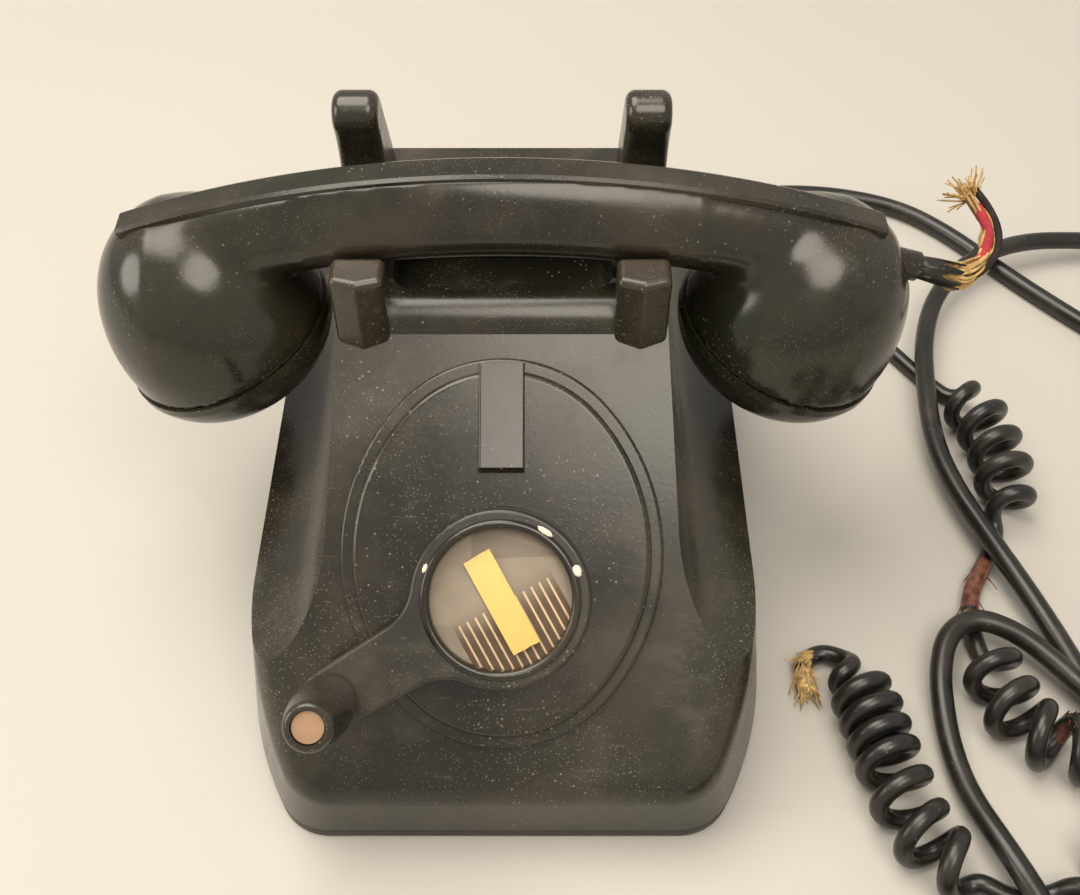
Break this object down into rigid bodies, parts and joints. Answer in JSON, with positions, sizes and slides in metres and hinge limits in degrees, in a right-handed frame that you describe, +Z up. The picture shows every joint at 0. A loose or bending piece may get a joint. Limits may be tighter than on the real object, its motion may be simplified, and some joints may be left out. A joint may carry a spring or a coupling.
{
  "type": "magneto desk telephone",
  "caption": "Desk telephone with a hand crank that drives a magneto, a cradled handset, a curly handset cord and a loose line cord.",
  "frame": {"origin": "on the table under the middle of the telephone, without its cords", "axes": "+X to the right along the handset, +Y to the back, +Z up; the crank faces -Y"},
  "size_m": [0.4435, 0.4387, 0.1571],
  "materials": {
    "bakelite": "worn gloss black moulding",
    "base_paint": "black enamel",
    "foot_rubber": "matte",
    "steel": "plated",
    "crank_paint": "black enamel",
    "iron": "bare",
    "brass": "aged",
    "label_paper": "aged paper card",
    "window_clear": "clear celluloid",
    "copper_wire": "enamelled winding",
    "plunger_plastic": "satin black",
    "can": "dull",
    "cord_sheath": "satin black sheath"
  },
  "bodies": {
    "base": {"base_plate": "base_paint", "base_screws": "steel", "capacitor": "can", "clamp_bars": "steel", "clamp_screws": "steel", "coil_iron": "steel", "contact_springs": "brass", "feet": "foot_rubber", "front_plate": "bakelite", "gong_left": "steel", "gong_posts": "steel", "gong_right": "steel", "handset_cord": "cord_sheath", "handset_cord_gland": "bakelite", "handset_cord_lead": "cord_sheath", "housing": "bakelite", "induction_coil": "copper_wire", "line_cord": "cord_sheath", "line_cord_coil": "cord_sheath", "line_cord_gland": "bakelite", "line_cord_lugs": "brass", "magneto_bearings": "brass", "magneto_front_plate": "steel", "magneto_pillars": "steel", "magneto_rear_plate": "steel", "magnets": "iron", "pole_pieces": "iron", "ringer_coils": "copper_wire", "ringer_cores": "steel", "ringer_frame": "steel", "shaft_bush": "brass", "switch_bracket": "steel", "terminal_screws": "brass", "terminal_strip": "plunger_plastic"},
    "handset": {"handset_body": "bakelite", "receiver_cap": "bakelite", "transmitter_cap": "bakelite", "receiver_capsule": "can", "transmitter_capsule": "can", "stub_bush": "bakelite", "handset_cord_stub": "cord_sheath"},
    "plungers": {"plungers": "plunger_plastic", "plunger_yoke": "plunger_plastic"},
    "crank": {"crank_arm": "crank_paint", "bezel_ring": "crank_paint", "label_disc": "label_paper", "label_window": "window_clear", "drive_shaft": "steel", "drive_gear": "brass", "knob_pin": "brass"},
    "knob": {"knob_grip": "bakelite"},
    "armature": {"armature_core": "iron", "armature_winding": "copper_wire", "armature_shaft": "steel", "pinion": "brass"},
    "clapper": {"clapper": "steel"}
  },
  "joints": [
    {"name": "handset_lift", "type": "slide", "parent": "base", "child": "handset", "axis": [0, 0, 1], "range_m": [0, 0.12]},
    {"name": "plunger_slide", "type": "slide", "parent": "base", "child": "plungers", "axis": [0, 0, 1], "range_m": [0, 0.006]},
    {"name": "crank_turn", "type": "hinge", "parent": "base", "child": "crank", "pos_m": [0, -0.05661, 0.06545], "axis": [0, -0.6293, 0.7771], "continuous": true},
    {"name": "knob_spin", "type": "hinge", "parent": "crank", "child": "knob", "pos_m": [-0.04653, -0.07791, 0.0482], "axis": [0, -0.6293, 0.7771], "continuous": true},
    {"name": "armature_turn", "type": "hinge", "parent": "base", "child": "armature", "pos_m": [0, -0.0333, 0.08433], "axis": [0, -0.6293, 0.7771], "continuous": true},
    {"name": "clapper_swing", "type": "hinge", "parent": "base", "child": "clapper", "pos_m": [0, 0.0435, 0.0445], "axis": [0, 1, 0], "range_deg": [-4, 4]}
  ],
  "couplings": [
    {"joint": "plunger_slide", "follows": "handset_lift", "ratio": 0.05},
    {"joint": "armature_turn", "follows": "crank_turn", "ratio": -4}
  ]
}
